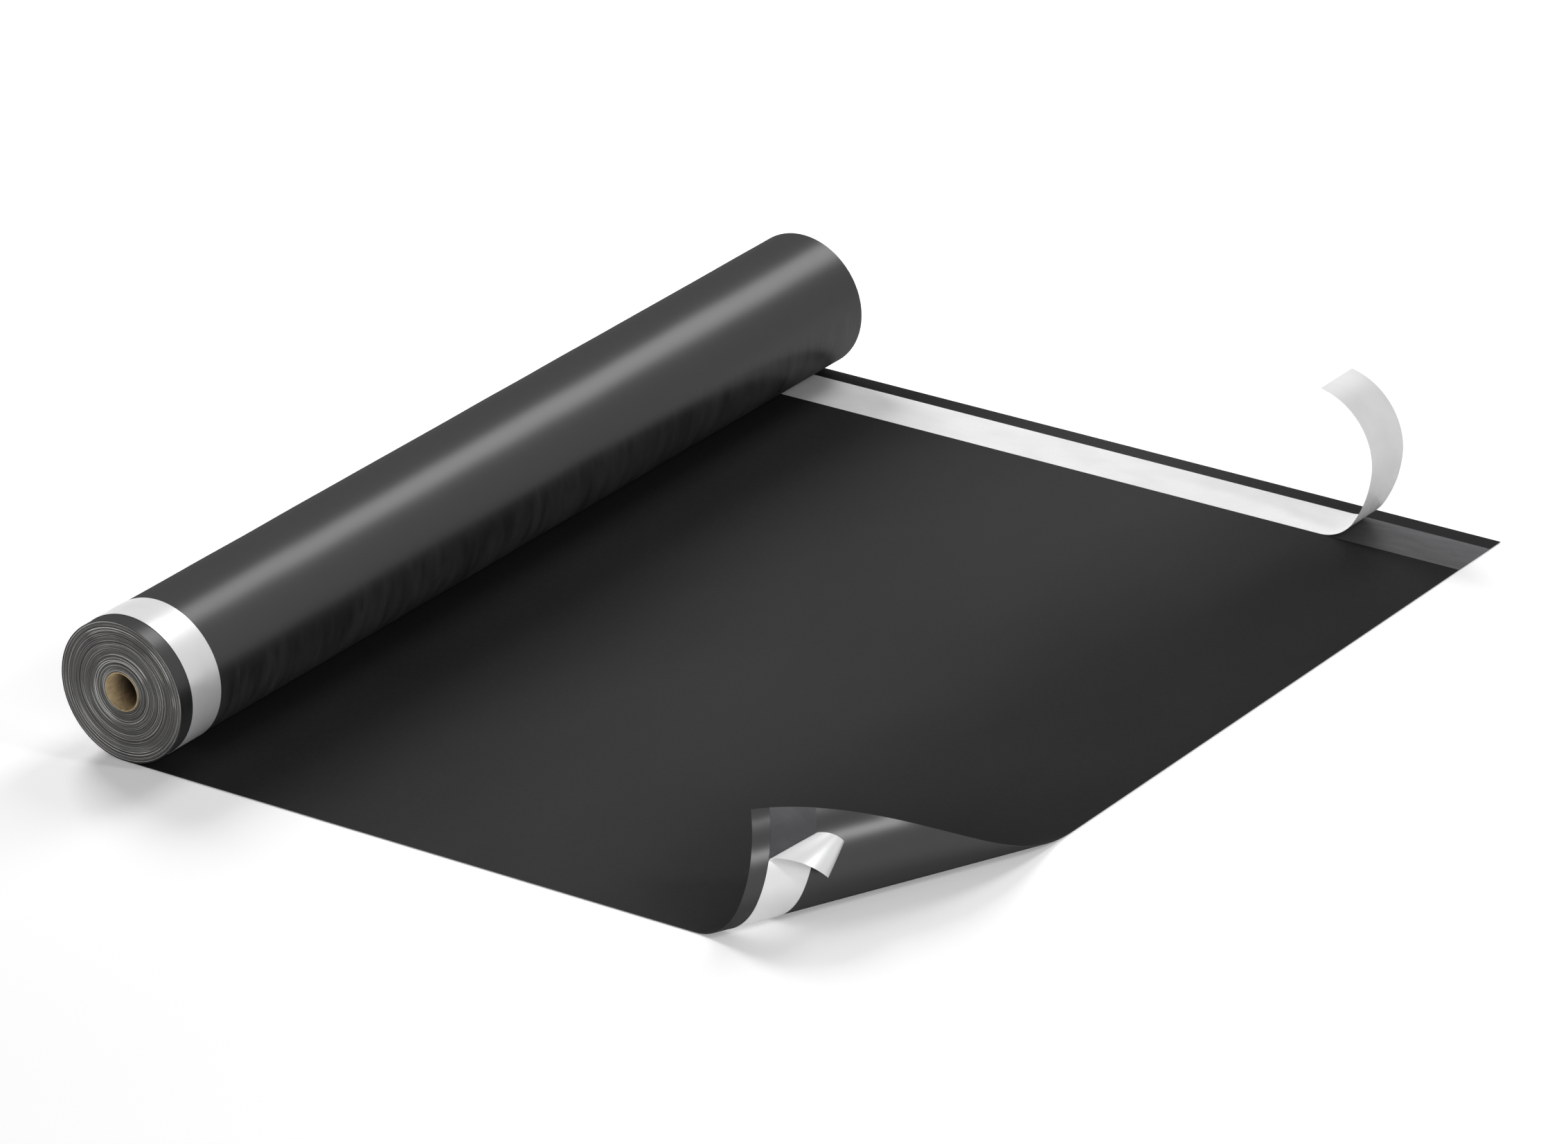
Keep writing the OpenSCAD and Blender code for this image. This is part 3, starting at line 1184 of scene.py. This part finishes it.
@dataclass
class LowerTape:
    """Adhesive strip and release film under the near edge, wound on the roll and under the leaf."""

    stock: Stock
    path: WebPath
    finishes: Finishes
    width: float = 0.057
    bare: float = 0.090
    crease_rise: float = 0.018
    crease_r: float = 0.003
    crease_deg: float = 128.0
    flap_deg: float = 245.0
    turn_step: float = 0.0045
    field_step: float = 0.020
    corner_step: float = 0.0035
    flap_step_deg: float = 2.5

    @property
    def crease_start(self) -> Array:
        """Point of the strip's outer edge where the film leaves it, in the flat sheet."""
        return np.array([self.stock.leaf_len - self.bare, self.stock.lower_y0])

    @property
    def crease(self) -> Array:
        """Works out the slanted line along which the film leaves the strip.

        Returns:
            Its direction in the flat sheet.
        """
        across = self.path.across
        slant = np.array([(self.crease_rise - self.width * across[1]) / across[0], self.width])
        return slant / np.linalg.norm(slant)

    @property
    def flap(self) -> Section:
        """Works out how the peeled film bends at the crease's outer end.

        Returns:
            Its section, turned over sharply and then curled on.
        """
        crease = Bend(self.crease_r, self.crease_r * math.radians(self.crease_deg))
        curled = self.bare / self.crease[1] - crease.length
        return Section((crease, Bend(curled / math.radians(self.flap_deg - self.crease_deg), curled)))

    def flap_shares(self) -> Array:
        """Shares of the way from the crease to the film's free end at which the flap's rows lie.

        Returns:
            The shares, spaced by even turns of the film and without the crease itself.
        """
        crease, curl = self.flap.bends
        turns = np.radians(np.arange(self.flap_step_deg, self.flap_deg, self.flap_step_deg))
        turns = np.append(turns, math.radians(self.flap_deg))
        folded = np.minimum(turns, crease.length / crease.radius)
        run = crease.radius * folded + curl.radius * (turns - folded)
        return run / (self.bare * self.crease[1] + run * self.crease[0] ** 2)

    def grid(self, low: float, peeled: bool) -> tuple[Array, Array]:
        """Spreads a grid along and across one layer, with rows that follow the crease if it is peeled.

        Args:
            low: Height of the layer's lower face through the layers.
            peeled: Whether the layer leaves the strip at the crease.

        Returns:
            The grid's distances along the web and its places across it.
        """
        stock, path = self.stock, self.path
        wide = stations((stock.lower_y0, stock.lower_y0 + self.width), (self.corner_step,))
        run = stations((path.turn_start(low), 0.0, path.fold_start[0]), (self.turn_step, self.field_step))
        x = np.repeat(run[:, None], len(wide), axis=1)
        crease_x = self.crease_start[0] + (wide - stock.lower_y0) * self.crease[0] / self.crease[1]
        corner_end = crease_x if peeled else np.full_like(wide, stock.leaf_len)
        on_corner = np.linspace(0.0, 1.0, math.ceil(path.fold_x / self.corner_step))[1:, None]
        x = np.concatenate([x, run[-1] + (corner_end - run[-1]) * on_corner])
        if peeled:
            x = np.concatenate([x, crease_x + (stock.leaf_len - crease_x) * self.flap_shares()[:, None]])
        return x, np.broadcast_to(wide, x.shape)

    def peeled_place(self, x: Array, y: Array, lift: float) -> Array:
        """Places points of the film, on the strip up to the crease and on the flap past it.

        The flap's straight lines all run to the point where the line of the crease would meet the front
        edge, so the flap's section shrinks towards that point.

        Args:
            x: Distances along the web.
            y: Places across it.
            lift: Height above the film's underside.

        Returns:
            The points, with x, y and z last.
        """
        path, crease = self.path, self.crease
        square = np.array([crease[1], -crease[0]])
        from_start = np.stack([x, y], axis=-1) - self.crease_start
        past = np.maximum(from_start @ square, 0.0)
        size = np.where(past > 0.0, 1.0 - (from_start @ crease) * crease[0] / self.bare, 1.0)
        base_x, base_y = x - past * square[0], y - past * square[1]
        slope = path.corner.trace(path.fold_run(base_x, base_y))[2][..., None]
        across = np.array([*path.across, 0.0])
        out = np.sin(slope) * across - np.cos(slope) * UP
        climb = np.cos(slope) * across + np.sin(slope) * UP
        away = (square @ path.along) * np.array([*path.along, 0.0]) + (square @ path.across) * climb
        reach, height, turn = self.flap.trace(past / size)
        shift_away = size * reach + lift * np.sin(turn)
        shift_out = size * height - lift * np.cos(turn) + lift
        base = path.place(base_x, base_y, lift)
        return base + shift_away[..., None] * away + shift_out[..., None] * out

    def build(self) -> list[Piece]:
        """Builds the strip and its film.

        Returns:
            The strip's and the film's objects.
        """
        stock, path, finishes = self.stock, self.path, self.finishes
        x, y = self.grid(stock.film_t, False)
        draft = MeshDraft.sheet(path.place(x, y, stock.film_t), path.place(x, y, stock.tape_t))
        strip = draft.make("lower_adhesive_layer", [finishes.adhesive] * len(Side))
        x, y = self.grid(0.0, True)
        draft = MeshDraft.sheet(self.peeled_place(x, y, 0.0), self.peeled_place(x, y, stock.film_t))
        film = draft.make("lower_film_sheet", [finishes.lower_film] * len(Side))
        stock.leaf_len - path.turn_start(0.0)
        return [strip, film]


@dataclass
class UpperTape:
    """Adhesive strip on top of the far edge and its release film, peeled up at the front."""

    stock: Stock
    finishes: Finishes
    bare: float = 0.216
    bends: tuple[tuple[float, float], ...] = ((0.063, 56.0), (0.177, 26.0), (0.097, 88.0))
    strip_step: float = 0.012
    curl_step: float = 0.003
    cross_step: float = 0.0065

    @property
    def curl(self) -> Section:
        """Section of the peeled film: it lifts off, rises and turns over."""
        return Section(tuple(Bend(radius, radius * math.radians(angle)) for radius, angle in self.bends))

    def grid(self, stops: Sequence[float], steps: Sequence[float]) -> tuple[Array, Array]:
        """Spreads a grid along and across the strip.

        Args:
            stops: Distances along the leaf.
            steps: Longest step after each stop but the last.

        Returns:
            The grid's distances along the leaf and its places across it.
        """
        wide = stations((self.stock.upper_y0, self.stock.upper_y1), (self.cross_step,))
        return np.meshgrid(stations(stops, steps), wide, indexing="ij")

    def strip(self) -> Piece:
        """Builds the adhesive strip on the leaf.

        Returns:
            The strip's object.
        """
        stock = self.stock
        x, y = self.grid((stock.nip_x, stock.leaf_len), (self.strip_step,))
        under = np.stack([stock.axis_x + x, y, np.full_like(x, stock.leaf_top)], axis=-1)
        draft = MeshDraft.sheet(under, under + stock.adhesive_t * UP)
        return draft.make("upper_adhesive_layer", [self.finishes.adhesive] * len(Side))

    def film(self) -> Piece:
        """Builds the release film with its curl.

        Returns:
            The film's object.
        """
        stock = self.stock
        lift_x = stock.leaf_len - self.bare
        length = sum(bend.length for bend in self.curl.bends)
        x, y = self.grid((stock.nip_x, lift_x, lift_x + length), (self.strip_step, self.curl_step))
        reach, height, slope = self.curl.trace(x - lift_x)
        base = np.array([stock.axis_x + lift_x, 0.0, stock.leaf_top + stock.adhesive_t])
        under = np.stack([reach, y, height], axis=-1) + base
        rise = np.stack([-np.sin(slope), np.zeros_like(slope), np.cos(slope)], axis=-1)
        draft = MeshDraft.sheet(under, under + stock.film_t * rise)
        piece = draft.make("upper_film_sheet", [self.finishes.upper_film] * len(Side))
        return piece

    def build(self) -> list[Piece]:
        """Builds the strip and its film."""
        return [self.strip(), self.film()]


@dataclass(frozen=True)
class PhotoCamera:
    """Camera at the photograph's viewing angle."""

    azimuth_deg: float = 35.90
    elevation_deg: float = 24.64
    tilt_deg: float = -1.54
    distance: float = 11.904
    lens_mm: float = 206.9
    sensor_mm: float = 36.0
    clip_end: float = 100.0
    aim: Triple = (-0.1386, 0.1666, 0.0)

    def place(self) -> None:
        """Makes the camera and sets it as the scene's own."""
        turn, rise = math.radians(self.azimuth_deg), math.radians(self.elevation_deg)
        back = Vector((math.sin(turn) * math.cos(rise), -math.cos(turn) * math.cos(rise), math.sin(rise)))
        right = Vector((math.cos(turn), math.sin(turn), 0.0))
        level = Matrix((right, back.cross(right), back)).transposed().to_4x4()
        data = bpy.data.cameras.new("photo_camera")
        data.sensor_fit = "HORIZONTAL"
        data.sensor_width = self.sensor_mm
        data.lens = self.lens_mm
        data.clip_end = self.clip_end
        camera = bpy.data.objects.new("photo_camera", data)
        camera.matrix_world = (
            Matrix.Translation(Vector(self.aim) + self.distance * back)
            @ level
            @ Matrix.Rotation(math.radians(self.tilt_deg), 4, "Z")
        )
        bpy.context.scene.collection.objects.link(camera)
        bpy.context.scene.camera = camera


@dataclass(frozen=True)
class Softbox:
    """Rectangular studio lamp that looks at a point, and may show in glossy surfaces."""

    name: str
    place: Triple
    aim: Triple
    size: tuple[float, float]
    watts: float
    glints: bool = True

    def hang(self) -> None:
        """Makes the lamp."""
        data = bpy.data.lights.new(self.name, "AREA")
        data.shape = "RECTANGLE"
        data.size, data.size_y = self.size
        data.energy = self.watts
        lamp = bpy.data.objects.new(self.name, data)
        lamp.visible_glossy = self.glints
        place = Vector(self.place)
        turn = (Vector(self.aim) - place).to_track_quat("-Z", "Y")
        lamp.matrix_world = Matrix.Translation(place) @ turn.to_matrix().to_4x4()
        bpy.context.scene.collection.objects.link(lamp)


@dataclass(frozen=True)
class Studio:
    """Pale floor, soft lamps, white surroundings and the camera.

    The key lamp has no glint of its own, so that the roll shows a single highlight.
    """

    floor_half: float = 30.0
    floor_drop: float = 0.0004
    floor_cells: int = 4
    surround: Ease = Ease(0.0, 1.0, 0.15, 1.0)
    lamps: tuple[Softbox, ...] = (
        Softbox("key_softbox", (-4.1, 2.0, 3.6), (0.0, 0.0, 0.0), (2.2, 2.2), 205.0, glints=False),
        Softbox("strip_softbox", (-0.25, 4.3, 3.9), (-0.5, 0.0, 0.1), (2.2, 4.0), 140.0),
        Softbox("side_softbox", (3.3, 0.0, 2.7), (0.5, -0.6, 0.1), (0.3, 1.2), 34.0),
        Softbox("fill_softbox", (2.7, -2.8, 0.9), (0.4, -0.5, 0.1), (2.2, 1.4), 42.0),
        Softbox("front_softbox", (-0.2, -4.2, 0.5), (-0.5, -0.7, 0.1), (1.2, 0.8), 18.0),
    )

    def lay_floor(self) -> None:
        """Lays the floor just under the part."""
        places = np.linspace(-self.floor_half, self.floor_half, self.floor_cells + 1)
        x, y = np.meshgrid(places, places, indexing="ij")
        draft = MeshDraft()
        draft.skin(draft.add_points(np.stack([x, y, np.full_like(x, -self.floor_drop)], axis=-1)), 0)
        draft.make("studio_floor", [FloorFinish().material()])

    def surround_light(self) -> None:
        """Lights the part evenly from all round, white where the camera or a reflection sees it."""
        world = bpy.data.worlds.new("studio_surround")
        shader = Shader(world, "Background")
        shader.dress(Color=WHITE, Strength=shader.ease(shader.seen(), self.surround))
        bpy.context.scene.world = world

    def build(self) -> None:
        """Sets up the floor, the lamps, the surroundings, the camera and the plain colour view."""
        self.lay_floor()
        for lamp in self.lamps:
            lamp.hang()
        self.surround_light()
        PhotoCamera().place()
        bpy.context.scene.view_settings.view_transform = "Standard"


def settle(piece: Piece, slot: str, *nodes: str) -> None:
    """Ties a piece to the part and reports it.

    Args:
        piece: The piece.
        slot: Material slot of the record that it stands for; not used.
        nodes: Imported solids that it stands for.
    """
    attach(piece, "root")
    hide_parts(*nodes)
    LOG.info("%s: %d faces, for %s", piece.name, len(piece.data.polygons), ", ".join(nodes))


def main() -> None:
    """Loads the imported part, builds every piece round it and sets up the studio."""
    logging.basicConfig(level=logging.INFO, format="%(name)s: %(message)s")
    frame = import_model()
    stock = Stock.from_frame(frame["record"])
    path = WebPath(stock)
    finishes = Finishes(stock)
    Studio().build()
    settle(CoreTube(stock, finishes).build(), "core_cardboard", "core_tube")
    settle(WoundTurns(stock, finishes).build(), "membrane_web", "membrane")
    settle(MembraneSheet(stock, path, finishes).build(), "membrane_web", "membrane")
    lower_strip, lower_film = LowerTape(stock, path, finishes).build()
    settle(lower_strip, "adhesive", "lower_adhesive_strip")
    settle(lower_film, "release_film", "lower_release_film")
    upper_strip, upper_film = UpperTape(stock, finishes).build()
    settle(upper_strip, "adhesive", "upper_adhesive_strip")
    settle(upper_film, "release_film", "upper_release_film")


if __name__ == "__main__":
    main()
